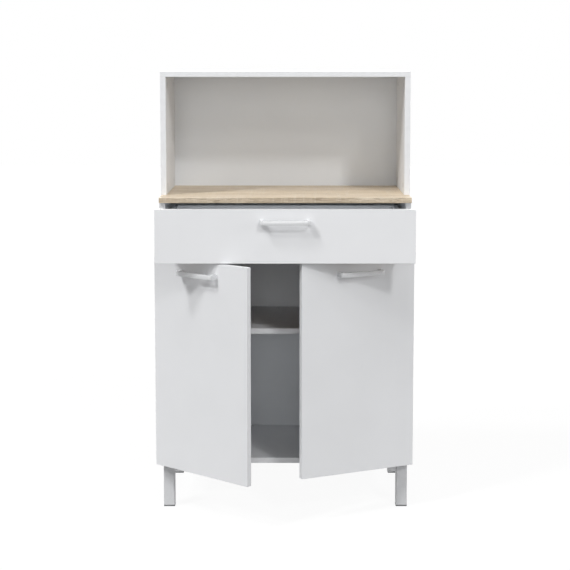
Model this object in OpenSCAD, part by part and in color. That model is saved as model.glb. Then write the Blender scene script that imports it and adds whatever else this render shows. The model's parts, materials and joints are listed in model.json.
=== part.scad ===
// Free-standing kitchen cabinet for a microwave oven: an open hutch over an oak-effect
// worktop, one drawer on roller runners, and two doors on concealed hinges, on four legs.
// Millimetres. X to the right, Y to the back, Z up. The pieces are drawn with Y = 0 on the
// front plane of the base carcass, then moved so that the origin is on the floor in the
// middle of the room that the opened cabinet takes.

/* [Cabinet] */
// Outer width of the cabinet
cabinet_w = 720; // [600:1:900]
// Depth of the base carcass with its back panel
base_d = 390; // [370:1:450]
// Height of the base carcass between the legs and the worktop
base_h = 763; // [740:1:820]
// Thickness of the melamine-faced boards
board_t = 16; // [15:0.5:18]
// Thickness of the hardboard back panels
back_t = 3; // [2.5:0.5:5]
// Margin of the back panels inside the outer edges
back_margin = 2; // [1:0.5:5]
// Width of the flat rail under the worktop's rear
rail_w = 80; // [60:1:100]
// Distance from the carcass front to the origin
origin_back = 72; // [40:1:100]

/* [Worktop and hutch] */
// Thickness of the worktop
worktop_t = 16; // [15:0.5:28]
// Overhang of the worktop in front of the carcass
worktop_overhang = 20; // [10:1:30]
// Depth of the hutch with its back panel
hutch_d = 330; // [300:1:360]
// Height of the hutch above the worktop
hutch_h = 356; // [320:1:450]

/* [Shelf] */
// Height of the shelf's underside above the bottom panel's top
shelf_rise = 366; // [330:1:420]
// Clearance behind the adjustable shelf
shelf_rear_gap = 2; // [1:0.5:10]
// Side clearance of the shelf
shelf_gap = 1; // [0.5:0.1:2]
// Diameter of the shelf pins
shelf_pin_d = 5; // [4:0.5:6]

/* [Legs] */
// Height from the floor to the underside of the carcass
leg_h = 130; // [100:1:160]
// Width of the square leg tube
leg_w = 32; // [28:1:36]
// Wall of the leg tube
leg_wall = 2; // [1.5:0.5:3]
// Inset of the leg's outer face from the cabinet's side
leg_side_inset = 5; // [4:1:8]
// Inset of the front leg's face from the carcass front
leg_front_inset = 2; // [2:1:10]
// Inset of the rear leg's face from the back of the carcass
leg_rear_inset = 6; // [5:1:12]
// Size of the square leg plate
leg_plate_w = 64; // [60:1:70]
// Thickness of the leg plate
leg_plate_t = 2; // [1.5:0.5:3]
// Height of the foot pad
foot_pad_h = 4; // [3:0.5:8]

/* [Fronts] */
// Thickness of the drawer front and the doors
front_t = 16; // [15:0.5:18]
// Gap between the carcass and the closed fronts
front_gap = 2; // [1.5:0.1:3]
// Reveal at each side of the fronts
side_reveal = 1.5; // [1:0.1:3]
// Gap between the two doors
door_gap = 3; // [2:0.1:5]
// Height of the drawer front
drawer_front_h = 150; // [140:1:170]
// Gap between the worktop and the drawer front
drawer_top_gap = 2; // [1.5:0.1:4]
// Gap between the drawer front and the doors
drawer_door_gap = 2.5; // [2:0.1:4]

/* [Opening shown] */
// How far the drawer is pulled out
drawer_pull = 160; // [0:1:255]
// How far the left door is open, in degrees
left_door_open = 40.5; // [0:0.5:95]
// How far the right door is open, in degrees
right_door_open = 25.3; // [0:0.1:95]

/* [Drawer] */
// Thickness of the drawer's sides and back
drawer_side_t = 12; // [12:0.5:15]
// Height of the drawer's sides
drawer_side_h = 110; // [90:1:115]
// Length of the drawer's sides
drawer_len = 350; // [300:1:360]
// Thickness of the drawer bottom
drawer_bottom_t = 3; // [2.5:0.5:5]
// Depth of the grooves for the drawer bottom
groove_depth = 6; // [4:0.5:8]
// Height of the groove above the drawer side's lower edge
groove_rise = 8; // [8:0.5:12]
// Height of the drawer side's lower edge above the drawer front's
drawer_side_rise = 16; // [14:1:24]

/* [Runners] */
// Space between the carcass side and the drawer side
runner_space = 12.5; // [12:0.1:14]
// Thickness of the runners' steel
runner_t = 1.2; // [1:0.1:1.5]
// Diameter of the runner rollers
roller_d = 18; // [16:0.5:20]
// Width of the runner rollers
roller_w = 5; // [4:0.5:6]
// Diameter of the roller axles
roller_pin_d = 4; // [3:0.5:5]
// Radial running clearance of the rollers
roller_clear = 0.08; // [0.05:0.01:0.1]

/* [Hinges] */
// Distance of the lower and upper hinges from the door's ends
hinge_end = 100; // [80:1:140]
// Virtual door axis: distance outwards from the carcass side's inner face
axis_out = 15; // [14:0.5:16]
// Virtual door axis: distance behind the carcass front
axis_back = 7.4; // [7:0.1:8]
// Diameter of the hinge cup
cup_d = 35; // [35:1:36]
// Depth of the hinge cup
cup_depth = 11.5; // [11:0.1:12.5]
// Distance of the cup's centre from the door's edge
cup_edge = 22; // [21.5:0.1:23]
// Diameter of the hinge link pins
link_pin_d = 2.5; // [2:0.1:2.8]
// Radial running clearance of the link pins
link_clear = 0.08; // [0.05:0.01:0.1]
// Radial play at the cup's pin
cup_pin_play = 0.3; // [0.2:0.05:0.4]

/* [Handles] */
// Overall length of a handle
handle_len = 138; // [120:1:180]
// Distance between the handle's screws
handle_pitch = 128; // [96:1:160]
// Height of the handle bar
handle_h = 13; // [10:0.5:16]
// Thickness of the handle bar
handle_bar_t = 7; // [5:0.5:10]
// Projection of the handle from the front
handle_reach = 28; // [24:1:36]
// Distance from the front's top edge to the handle's middle
handle_drop = 35; // [28:1:50]

/* [Fixings] */
// Diameter of the wooden dowels
dowel_d = 8; // [6:1:8]
// Length of the wooden dowels
dowel_len = 30; // [25:1:35]
// Diameter of the cam locks
cam_d = 15; // [12:1:15]
// Distance of a cam lock's centre from the joint
cam_reach = 24; // [22:1:34]

/* [Hidden] */
$fn = 48;
eps = 0.01;
side_x = cabinet_w / 2 - board_t;          // inner face of the carcass sides
panel_d = base_d - back_t;                 // depth of the boards in front of the back panel
carcass_top = leg_h + base_h;
bottom_top = leg_h + board_t;
worktop_top = carcass_top + worktop_t;
hutch_front = base_d - hutch_d;
hutch_side_top = worktop_top + hutch_h - board_t;
cabinet_top = worktop_top + hutch_h;
shelf_z = bottom_top + shelf_rise;
shelf_d = panel_d - shelf_rear_gap;

front_w = cabinet_w - 2 * side_reveal;
front_y = -front_gap - front_t;            // face of the closed fronts
drawer_front_top = carcass_top - drawer_top_gap;
drawer_front_z = drawer_front_top - drawer_front_h;
door_top = drawer_front_z - drawer_door_gap;
door_h = door_top - leg_h;
door_w = (front_w - door_gap) / 2;
door_edge_u = side_reveal - board_t;       // the door's outer edge from the side's inner face

drawer_x = side_x - runner_space;          // outer face of the drawer's sides
drawer_in_x = drawer_x - drawer_side_t;
drawer_z = drawer_front_z + drawer_side_rise;
drawer_side_top = drawer_z + drawer_side_h;
drawer_back_y = drawer_len - front_gap;    // rear end of the closed drawer box
groove_z = drawer_z + groove_rise;
groove_play = 0.5;

// roller runners: a channel on the carcass, an angle under the drawer's side
runner_y = 4;
runner_end = drawer_back_y + 8;
channel_z = drawer_z - 5;                  // underside of the carcass channel
channel_h = 36;
channel_reach = 9;                         // how far the channel's flanges reach inwards
lip_rise = 21;                             // the drawer angle's outer lip over its lower flange
lip_reach = 6;
roller_r = roller_d / 2;
roller_seat = 0.2;                         // running gap under and over the rollers
front_roller_y = runner_y + 12;
runner_screw_first = 33;                   // first screw from the channel's front
runner_screw_pitch = 128;
rear_roller_y = drawer_back_y - 13;
front_roller_z = drawer_z + lip_rise - runner_t - roller_seat - roller_r;
rear_roller_z = channel_z + runner_t + roller_seat + roller_r;
roller_x = side_x - runner_t - 1.2 - roller_w / 2;   // middle of both rollers

// hinge places, in (u, v) from the front inner corner of a carcass side
hinge_zs = [leg_h + hinge_end, door_top - hinge_end];
arm_pin_u = 7;
arm_pin_v = 6;
arm_pin_d = 3;
cup_u = door_edge_u + cup_edge;
cup_flange_t = 1.2;
cup_wall = 1.2;
cup_pin_u = -4;                            // cup pin with the door closed
cup_pin_v = -5 - front_gap;
bar_u = arm_pin_u + axis_out;              // the inner link never turns: its two pins
bar_v = arm_pin_v - axis_back;             // lie this far apart along u and v
crank_u = cup_pin_u + bar_u;               // outer link's far pin with the door closed
crank_v = cup_pin_v + bar_v;
elbow_u = crank_u - 0.6;                   // bend of the outer link
elbow_v = crank_v + 9.8;
link_t = 2.4;
bar_half = 3.5;                            // half height of the inner link
ear_gap = 0.3;
ear_t = 2;
crank_half = bar_half + ear_gap + ear_t;
arm_wall = 1.5;
arm_half = crank_half + ear_gap + arm_wall;
arm_web_u = 12;
arm_end_v = 60;
arm_screw_len = 9;
plate_screw_v = 37;
plate_t = 3;
wing_t = 2.5;                              // the mounting plate's wings with its screws
wing_half = 7;
wing_end = 5;
block_from_v = 24;                         // the raised block that the arm sits on
block_to_v = 56;
plate_shift = 2;                           // the plate starts and ends this far before it
plate_screw_pitch = 32;
cup_screw_w = 24;
cup_screw_u = cup_u + 9.5;

pin_len = 8;                               // shelf pin in the board, and out of it
pin_hole_depth = 10;
pin_front_inset = 37;                      // shelf pins from the sides' edges
pin_rear_inset = 50;
pin_ys = [pin_front_inset, panel_d - pin_rear_inset];
pin_pitch = 32;
screw_head_t = 1.8;
screw_d = 4;
corner_grip = 18;                          // a drawer screw's length in the drawer back
corner_hole = 20;
joint_inset = 100;                         // first fixing from a base board's edge
joint_ys = [joint_inset, panel_d - joint_inset];
dowel_step = 32;                           // from a cam to its dowel
rail_y = panel_d - rail_w;
top_ys = [60, 230];                        // cams of the base sides in the worktop
hutch_inset = 50;
hutch_ys = [hutch_front + hutch_inset, panel_d - hutch_inset];
bolt_d = 5;
bolt_in = 11;
bolt_head_d = 7;
cam_h = 12.5;
leg_screws = [[50, 12], [50, 50], [8, 50]];   // from the plate's outer corner
plate_margin = 2;                          // the plate's edge outside the tube
nail_pitch = 95;
nail_d = 1.4;
nail_len = 20;
nail_head_d = 4;
nail_head_t = 0.6;
bumper_drop = 50;

white = "#e6e7e9";
oak = "#cdb99a";
steel = "#b9bcc0";
hardboard = "#dcdcdc";
metal_white = "#dfe1e3";
silver = "#cfd1d3";
nylon = "#f2f2ee";

// moves a piece from the carcass front to the origin
module placed() {
    translate([0, -origin_back, 0]) children();
}

// a block given by its low corner and its high corner
module block(low, high) {
    translate(low) cube(high - low);
}

// a rod along X, Y or Z from a point
module rod_x(at, d, len) {
    translate(at) rotate([0, 90, 0]) cylinder(d = d, h = len);
}
module rod_y(at, d, len) {
    translate(at) rotate([-90, 0, 0]) cylinder(d = d, h = len);
}
module rod_z(at, d, len) {
    translate(at) cylinder(d = d, h = len);
}

module both_sides() {
    children();
    mirror([1, 0, 0]) children();
}

// ---- fixings: the same places drill the boards and hold the pieces ----

// dowels from a board's end into the side: drawn for the left side, along X
module dowels_at_ends(z) {
    for (y = joint_ys) rod_x([-side_x - dowel_len / 3, y + dowel_step, z], dowel_d, dowel_len);
}

// rail ends have one dowel and one cam
module rail_dowels() {
    rod_x([-side_x - dowel_len / 3, rail_y + rail_w * 0.7, carcass_top - board_t / 2],
        dowel_d, dowel_len);
}

// one cam bolt along X: thread in the side, shaft and head in the board's end
module cam_bolt() {
    rod_x([-bolt_in, 0, 0], bolt_d, bolt_in + cam_reach - 3);
    rod_x([0, 0, 0], bolt_head_d, cam_reach - cam_d / 2 - 2);
    rod_x([cam_reach - 3, 0, 0], bolt_head_d, 3.5);
}
module cam_bolt_hole() {
    rod_x([0, 0, 0], bolt_head_d, cam_reach);
}

// a cam lock around the bolt's head: the mouth takes the head from the side
module cam_lock() {
    difference() {
        rod_z([cam_reach, 0, -board_t / 2], cam_d, cam_h);
        block([0, -4, -4], [cam_reach + 1.5, 4, 4]);
    }
}
module cam_pocket() {
    rod_z([cam_reach, 0, -board_t / 2 - eps], cam_d, cam_h + eps);
}

// cam joints of the left ends of the bottom panel and the rail
module at_board_cams() {
    for (y = joint_ys) translate([-side_x, y, leg_h + board_t / 2]) children();
    translate([-side_x, rail_y + rail_w * 0.3, carcass_top - board_t / 2]) children();
}

// cam joints of the left base side: bolts stand in the worktop's underside
module at_top_cams() {
    for (y = top_ys)
        translate([-side_x - board_t / 2, y, carcass_top]) mirror([0, 0, 1])
            rotate([0, -90, 0]) children();
}
module top_dowels() {
    for (y = top_ys)
        rod_z([-side_x - board_t / 2, y + dowel_step, carcass_top - dowel_len * 2 / 3],
            dowel_d, dowel_len);
}

// cam joints of the left hutch side: bolts stand in the worktop and in the hutch's top
module at_hutch_cams() {
    for (y = hutch_ys) {
        translate([-side_x - board_t / 2, y, worktop_top]) rotate([0, -90, 0]) children();
        translate([-side_x - board_t / 2, y, hutch_side_top]) mirror([0, 0, 1])
            rotate([0, -90, 0]) children();
    }
}
module hutch_dowels() {
    for (y = hutch_ys, z = [worktop_top, hutch_side_top])
        rod_z([-side_x - board_t / 2, y + (y < base_d / 2 ? 40 : -40), z - dowel_len / 3
            - (z > worktop_top ? dowel_len / 3 : 0)], dowel_d, dowel_len);
}

// screws that come up through the rail into the worktop
module at_worktop_screws() {
    for (x = [-side_x * 0.6, side_x * 0.6])
        translate([x, rail_y + rail_w / 2, carcass_top - board_t]) children();
}

// a pan-head screw with a cross recess, its shank up along Z from the head's seat
module pan_screw(d, len) {
    difference() {
        union() {
            cylinder(d = d, h = len);
            translate([0, 0, -screw_head_t]) cylinder(d = 2 * d, h = screw_head_t);
        }
        for (turn = [0, 90]) rotate([0, 0, turn])
            translate([-d * 0.6, -d * 0.12, -screw_head_t - eps])
                cube([d * 1.2, d * 0.24, screw_head_t * 0.6]);
    }
}

// ---- base carcass ----

module side_fixing_holes() {
    at_board_cams() rod_x([-bolt_in, 0, 0], bolt_d, bolt_in + eps);
    dowels_at_ends(leg_h + board_t / 2);
    rail_dowels();
    top_dowels();
    at_top_cams() { cam_pocket(); cam_bolt_hole(); }
    for (y = pin_ys, step = [-2 : 2])
        rod_x([-side_x - pin_hole_depth, y, shelf_z - shelf_pin_d / 2 + step * pin_pitch],
            shelf_pin_d, pin_hole_depth + eps);
    at_hinge_plate_screws() rod_z([0, 0, -eps], screw_d, bolt_in + eps);
    at_runner_screws() rod_z([0, 0, -eps], screw_d, bolt_in + eps);
    at_leg_screws() rod_z([0, 0, -eps], screw_d, bolt_in + eps);
}

module left_side_board() {
    difference() {
        block([-cabinet_w / 2, 0, leg_h], [-side_x, panel_d, carcass_top]);
        side_fixing_holes();
        at_base_nails() nail_hole();
    }
}

module base_left_side() {
    color(white) left_side_board();
}

module base_right_side() {
    color(white) mirror([1, 0, 0]) left_side_board();
}

module base_bottom() {
    color(white) difference() {
        block([-side_x, 0, leg_h], [side_x, panel_d, bottom_top]);
        both_sides() {
            at_board_cams() { cam_pocket(); cam_bolt_hole(); }
            dowels_at_ends(leg_h + board_t / 2);
            at_leg_screws() rod_z([0, 0, -eps], screw_d, bolt_in + eps);
        }
    }
}

module rear_rail() {
    color(white) difference() {
        block([-side_x, rail_y, carcass_top - board_t], [side_x, rail_y + rail_w, carcass_top]);
        both_sides() {
            at_board_cams() { cam_pocket(); cam_bolt_hole(); }
            rail_dowels();
        }
        at_worktop_screws() rod_z([0, 0, -eps], screw_d, board_t + 2 * eps);
    }
}

module base_back_panel() {
    color(hardboard) difference() {
        block([-cabinet_w / 2 + back_margin, panel_d, leg_h + back_margin],
            [cabinet_w / 2 - back_margin, base_d, carcass_top]);
        both_sides() at_base_nails() nail_hole();
    }
}

module adjustable_shelf() {
    color(white) block([-side_x + shelf_gap, 0, shelf_z],
        [side_x - shelf_gap, shelf_d, shelf_z + board_t]);
}

// a push-in pin whose flat blade carries the shelf
module shelf_pins() {
    color(steel) both_sides() for (y = pin_ys) {
        rod_x([-side_x - pin_len, y, shelf_z - shelf_pin_d / 2], shelf_pin_d, pin_len);
        block([-side_x, y - shelf_pin_d, shelf_z - shelf_pin_d],
            [-side_x + pin_len, y + shelf_pin_d, shelf_z]);
    }
}

// ---- worktop and hutch ----

module worktop() {
    color(oak) difference() {
        block([-cabinet_w / 2, -worktop_overhang, carcass_top],
            [cabinet_w / 2, base_d, worktop_top]);
        at_worktop_screws() rod_z([0, 0, board_t - eps], screw_d, bolt_in + eps);
        both_sides() {
            hutch_dowels();
            top_dowels();
            at_hutch_cams() rod_x([-bolt_in, 0, 0], bolt_d, bolt_in + eps);
            at_top_cams() rod_x([-bolt_in, 0, 0], bolt_d, bolt_in + eps);
        }
    }
}

module left_hutch_board() {
    difference() {
        block([-cabinet_w / 2, hutch_front, worktop_top], [-side_x, panel_d, hutch_side_top]);
        hutch_dowels();
        at_hutch_cams() { cam_pocket(); cam_bolt_hole(); }
        at_hutch_nails() nail_hole();
    }
}

module hutch_left_side() {
    color(white) left_hutch_board();
}

module hutch_right_side() {
    color(white) mirror([1, 0, 0]) left_hutch_board();
}

module hutch_top() {
    color(white) difference() {
        block([-cabinet_w / 2, hutch_front, hutch_side_top],
            [cabinet_w / 2, base_d, cabinet_top]);
        both_sides() {
            hutch_dowels();
            at_hutch_cams() rod_x([-bolt_in, 0, 0], bolt_d, bolt_in + eps);
        }
    }
}

module hutch_back_panel() {
    color(hardboard) difference() {
        block([-cabinet_w / 2 + back_margin, panel_d, worktop_top],
            [cabinet_w / 2 - back_margin, base_d, hutch_side_top]);
        both_sides() at_hutch_nails() nail_hole();
    }
}

module cam_locks() {
    color(steel) both_sides() {
        at_board_cams() cam_lock();
        at_top_cams() cam_lock();
        at_hutch_cams() cam_lock();
    }
}

module cam_bolts() {
    color(steel) both_sides() {
        at_board_cams() cam_bolt();
        at_top_cams() cam_bolt();
        at_hutch_cams() cam_bolt();
    }
}

module wooden_dowels() {
    color(oak) both_sides() {
        dowels_at_ends(leg_h + board_t / 2);
        rail_dowels();
        top_dowels();
        hutch_dowels();
    }
}

// flat-headed nails through the back panels into the rear edges of the sides, left ones
module at_nails(low, high) {
    count = floor((high - low) / nail_pitch);
    for (i = [0 : count])
        translate([-cabinet_w / 2 + board_t / 2, base_d, low + (high - low) * i / count])
            rotate([90, 0, 0]) children();
}
module at_base_nails() {
    at_nails(leg_h + board_t / 2, carcass_top - board_t / 2) children();
}
module at_hutch_nails() {
    at_nails(worktop_top + board_t, hutch_side_top - board_t) children();
}
module nail() {
    cylinder(d = nail_d, h = nail_len);
    translate([0, 0, -nail_head_t]) cylinder(d = nail_head_d, h = nail_head_t);
}
module nail_hole() {
    translate([0, 0, -eps]) cylinder(d = nail_d, h = nail_len + eps);
}

module back_panel_nails() {
    color(steel) both_sides() {
        at_base_nails() nail();
        at_hutch_nails() nail();
    }
}

module worktop_screws() {
    color(steel) at_worktop_screws() pan_screw(screw_d, board_t + bolt_in);
}

// ---- legs ----

// the four plates' outer corners: [left or right, front or rear]
module at_leg(left, front) {
    x = cabinet_w / 2 - leg_side_inset + plate_margin;
    y = front ? leg_front_inset - plate_margin : base_d - leg_rear_inset + plate_margin;
    mirror([left ? 0 : 1, 0, 0]) translate([-x, y, 0])
        mirror([0, front ? 0 : 1, 0]) children();
}

// the leg tube's outside and its hollow, from a low height to a high one
module tube_outside(low, high) {
    block([plate_margin, plate_margin, low], [plate_margin + leg_w, plate_margin + leg_w, high]);
}
module tube_hollow(low, high) {
    first = plate_margin + leg_wall;
    last = plate_margin + leg_w - leg_wall;
    block([first, first, low], [last, last, high]);
}

// screw places on the left plates, heads under the plate and shanks up
module at_leg_screws() {
    for (front = [true, false]) at_leg(true, front)
        for (p = leg_screws) translate([p[0], p[1], leg_h]) children();
}

module leg(left, front) {
    color(silver) at_leg(left, front) difference() {
        union() {
            tube_outside(foot_pad_h, leg_h);
            block([0, 0, leg_h - leg_plate_t], [leg_plate_w, leg_plate_w, leg_h]);
        }
        tube_hollow(foot_pad_h - eps, leg_h - leg_plate_t);
        for (p = leg_screws)
            rod_z([p[0], p[1], leg_h - leg_plate_t - eps], screw_d, leg_plate_t + 2 * eps);
    }
}

module leg_front_left() {
    leg(true, true);
}

module leg_front_right() {
    leg(false, true);
}

module leg_rear_left() {
    leg(true, false);
}

module leg_rear_right() {
    leg(false, false);
}

module leg_fixing_screws() {
    color(steel) both_sides() at_leg_screws()
        translate([0, 0, -leg_plate_t]) pan_screw(screw_d, leg_plate_t + bolt_in);
}

// plastic plugs pushed up into the tubes
module foot_pads() {
    plug = 10;
    color("#7a7c7e") for (left = [true, false], front = [true, false]) at_leg(left, front) {
        tube_outside(0, foot_pad_h);
        tube_hollow(foot_pad_h - eps, foot_pad_h + plug);
    }
}

// soft dots on the carcass that the doors close on
module door_bumpers() {
    color("#f4f4f4") both_sides()
        for (z = [leg_h + board_t / 2, door_top - bumper_drop])
            rod_y([-side_x - board_t / 2, -front_gap + 0.3, z], 8, front_gap - 0.3);
}

// ---- roller runners: drawn for the left side ----

module at_runner_screws() {
    for (y = [runner_y + runner_screw_first : runner_screw_pitch : runner_end - runner_screw_first])
        translate([-side_x, y, channel_z + channel_h * 0.62]) rotate([0, -90, 0]) children();
}

module left_channel() {
    difference() {
        block([-side_x, runner_y, channel_z], [-side_x + channel_reach, runner_end,
            channel_z + channel_h]);
        block([-side_x + runner_t, runner_y - eps, channel_z + runner_t],
            [-side_x + channel_reach + eps, runner_end + eps, channel_z + channel_h - runner_t]);
        // the upper flange stops short of the front roller
        block([-side_x + runner_t, runner_y - eps, channel_z + channel_h - runner_t - eps],
            [-side_x + channel_reach + eps, front_roller_y + roller_d,
                channel_z + channel_h + eps]);
        at_runner_screws() rod_z([0, 0, -runner_t - eps], screw_d, runner_t + 2 * eps);
    }
    // axle riveted to the channel
    rod_x([-side_x + runner_t - eps, front_roller_y, front_roller_z], roller_pin_d,
        -roller_x + roller_w / 2 + 0.8 + side_x - runner_t);
}

module left_cabinet_runner() {
    color(metal_white) left_channel();
}

module right_cabinet_runner() {
    color(metal_white) mirror([1, 0, 0]) left_channel();
}

module runner_screws() {
    color(steel) both_sides() at_runner_screws()
        translate([0, 0, -runner_t]) pan_screw(screw_d, runner_t + bolt_in);
}

// a grooved plastic roller: a tread with a hub that shows at both sides
module roller(y, z) {
    translate([-roller_x, y, z]) rotate([0, 90, 0]) difference() {
        union() {
            cylinder(r = roller_r, h = roller_w, center = true);
            cylinder(d = roller_pin_d + 4, h = roller_w + 0.8, center = true);
        }
        cylinder(d = roller_pin_d + 2 * roller_clear, h = roller_w + 2, center = true);
    }
}

module left_cabinet_roller() {
    color(nylon) roller(front_roller_y, front_roller_z);
}

module right_cabinet_roller() {
    color(nylon) mirror([1, 0, 0]) roller(front_roller_y, front_roller_z);
}

// ---- drawer, drawn closed and pulled out by pulled() ----

module pulled() {
    translate([0, -drawer_pull, 0]) children();
}

module at_handle_screws(x, top) {
    for (side = [-1, 1])
        translate([x + side * handle_pitch / 2, -front_gap, top - handle_drop])
            rotate([90, 0, 0]) children();
}

// a bow handle bent from a flat bar, its feet on the front's face
module bow_handle(x, top) {
    outer_r = 9;
    inner_r = 4;
    half = handle_len / 2;
    foot = (handle_len - handle_pitch);
    translate([x, front_y, top - handle_drop - handle_h / 2]) difference() {
        linear_extrude(handle_h) difference() {
            union() {
                translate([-half, -handle_reach + outer_r])
                    square([handle_len, handle_reach - outer_r]);
                translate([-half + outer_r, -handle_reach])
                    square([handle_len - 2 * outer_r, outer_r + eps]);
                for (side = [-1, 1]) translate([side * (half - outer_r), -handle_reach + outer_r])
                    circle(outer_r);
            }
            translate([-half + foot, -handle_reach + handle_bar_t + inner_r])
                square([handle_len - 2 * foot, handle_reach]);
            translate([-half + foot + inner_r, -handle_reach + handle_bar_t])
                square([handle_len - 2 * (foot + inner_r), handle_reach]);
            for (side = [-1, 1])
                translate([side * (half - foot - inner_r), -handle_reach + handle_bar_t + inner_r])
                    circle(inner_r);
        }
        for (side = [-1, 1])
            rod_y([side * handle_pitch / 2, -14, handle_h / 2], screw_d, 14 + eps);
    }
}

module front_screw_holes(x, top) {
    at_handle_screws(x, top) rod_z([0, 0, -eps], screw_d + 0.5, front_t + 2 * eps);
}

module handle_screws(x, top) {
    at_handle_screws(x, top) pan_screw(screw_d, front_t + 12);
}

module drawer_bottom_panel(play) {
    block([-drawer_in_x - groove_depth + play, -front_gap - groove_depth + play, groove_z],
        [drawer_in_x + groove_depth - play, drawer_back_y, groove_z + drawer_bottom_t]);
}

// fixings of the left corners: a dowel pair at the front, two screws at the back
module drawer_corner_dowels() {
    for (z = [drawer_z + 35, drawer_side_top - 25])
        rod_y([-drawer_in_x - drawer_side_t / 2, -front_gap - 10, z], 6, 26);
}
module at_corner_screws() {
    for (z = [drawer_z + 35, drawer_side_top - 25])
        translate([-drawer_x, drawer_back_y - drawer_side_t / 2, z])
            rotate([0, 90, 0]) children();
}

module left_drawer_board() {
    difference() {
        block([-drawer_x, -front_gap, drawer_z], [-drawer_in_x, drawer_back_y, drawer_side_top]);
        drawer_bottom_panel(0);
        drawer_corner_dowels();
        at_corner_screws() rod_z([0, 0, -eps], screw_d, drawer_side_t + 2 * eps);
    }
}

module drawer_front() {
    color(white) pulled() difference() {
        block([-front_w / 2, front_y, drawer_front_z], [front_w / 2, -front_gap, drawer_front_top]);
        drawer_bottom_panel(0);
        both_sides() drawer_corner_dowels();
        front_screw_holes(0, drawer_front_top);
    }
}

module drawer_left_side() {
    color(white) pulled() left_drawer_board();
}

module drawer_right_side() {
    color(white) pulled() mirror([1, 0, 0]) left_drawer_board();
}

module drawer_back() {
    color(white) pulled() difference() {
        block([-drawer_in_x, drawer_back_y - drawer_side_t, groove_z + drawer_bottom_t],
            [drawer_in_x, drawer_back_y, drawer_side_top]);
        both_sides() at_corner_screws()
            rod_z([0, 0, drawer_side_t - eps], screw_d, corner_hole);
    }
}

module drawer_bottom() {
    color(hardboard) pulled() drawer_bottom_panel(groove_play);
}

module drawer_corner_fixings() {
    color(steel) pulled() both_sides() {
        drawer_corner_dowels();
        at_corner_screws() pan_screw(screw_d, drawer_side_t + corner_grip);
    }
}

module drawer_handle() {
    color(silver) pulled() bow_handle(0, drawer_front_top);
}

module drawer_handle_screws() {
    color(steel) pulled() handle_screws(0, drawer_front_top);
}

// the drawer's angle: web on the side, flange under it, lip out over the front roller
module left_angle() {
    inner = -drawer_x + 12;
    block([-drawer_x - runner_t, -front_gap, drawer_z - runner_t],
        [-drawer_x, drawer_back_y, drawer_z + lip_rise]);
    block([-drawer_x - runner_t, -front_gap, drawer_z - runner_t],
        [inner, drawer_back_y, drawer_z]);
    block([-drawer_x - lip_reach, -front_gap, drawer_z + lip_rise - runner_t],
        [-drawer_x, drawer_back_y, drawer_z + lip_rise]);
    // rear axle
    rod_x([-roller_x - roller_w / 2 - 0.8, rear_roller_y, rear_roller_z], roller_pin_d,
        roller_x - drawer_x + roller_w / 2 + 0.8 - runner_t + eps);
}

module left_drawer_runner() {
    color(metal_white) pulled() left_angle();
}

module right_drawer_runner() {
    color(metal_white) pulled() mirror([1, 0, 0]) left_angle();
}

module left_drawer_roller() {
    color(nylon) pulled() roller(rear_roller_y, rear_roller_z);
}

module right_drawer_roller() {
    color(nylon) pulled() mirror([1, 0, 0]) roller(rear_roller_y, rear_roller_z);
}

// ---- concealed hinges: drawn for the left side in (u, v), from the side's front corner ----

module at_hinges() {
    for (z = hinge_zs) translate([-side_x, 0, z]) children();
}

// turns a left-hand piece about the door's axis
module swung(angle) {
    axis = [-side_x - axis_out, axis_back, 0];
    translate(axis) rotate([0, 0, -angle]) translate(-axis) children();
}

module at_hinge_plate_screws() {
    at_hinges() for (w = [-1, 1])
        translate([0, plate_screw_v, w * plate_screw_pitch / 2]) rotate([0, -90, 0]) children();
}

module hinge_mounting_plates() {
    color(steel) both_sides() difference() {
        at_hinges() {
            block([0, block_from_v - plate_shift, -arm_half - plate_shift],
                [plate_t, block_to_v - plate_shift, arm_half + plate_shift]);
            block([0, plate_screw_v - wing_half, -plate_screw_pitch / 2 - wing_end],
                [wing_t, plate_screw_v + wing_half, plate_screw_pitch / 2 + wing_end]);
            block([plate_t - eps, block_from_v, -crank_half],
                [arm_web_u, block_to_v, crank_half]);
        }
        at_hinge_plate_screws() rod_z([0, 0, -plate_t - eps], screw_d, plate_t + 2 * eps);
        at_arm_screws() rod_z([0, 0, -eps], screw_d, arm_screw_len);
    }
}

module hinge_plate_screws() {
    color(steel) both_sides() at_hinge_plate_screws()
        translate([0, 0, -wing_t]) pan_screw(screw_d, wing_t + bolt_in);
}

// screws that hold and adjust the arm on its plate
module at_arm_screws() {
    at_hinges() for (v = [32, 48]) translate([arm_web_u, v, 0]) rotate([0, -90, 0]) children();
}

module hinge_arm_screws() {
    color(steel) both_sides() at_arm_screws()
        translate([0, 0, -arm_wall]) pan_screw(screw_d, arm_screw_len);
}

// a pressed arm: two cheeks and a web, with the outer link's pin at its nose
module hinge_arms() {
    color(steel) both_sides() difference() {
        at_hinges() {
            for (w = [-arm_half, arm_half - arm_wall]) {
                block([3.4, arm_pin_v, w], [arm_web_u + arm_wall, arm_end_v, w + arm_wall]);
                rod_z([arm_pin_u, arm_pin_v, w], 7.2, arm_wall);
            }
            block([arm_web_u, 10.5, -arm_half], [arm_web_u + arm_wall, arm_end_v, arm_half]);
            rod_z([arm_pin_u, arm_pin_v, -arm_half], arm_pin_d, 2 * arm_half);
        }
        at_arm_screws() rod_z([0, 0, -arm_wall - eps], screw_d, arm_wall + 2 * eps);
    }
}

// a straight strap between two points of the (u, v) plane
module strap(from, to, half) {
    dir = to - from;
    translate([from[0], from[1], -half]) rotate([0, 0, atan2(dir[1], dir[0])])
        translate([0, -link_t / 2, 0]) cube([norm(dir), link_t, 2 * half]);
}

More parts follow.
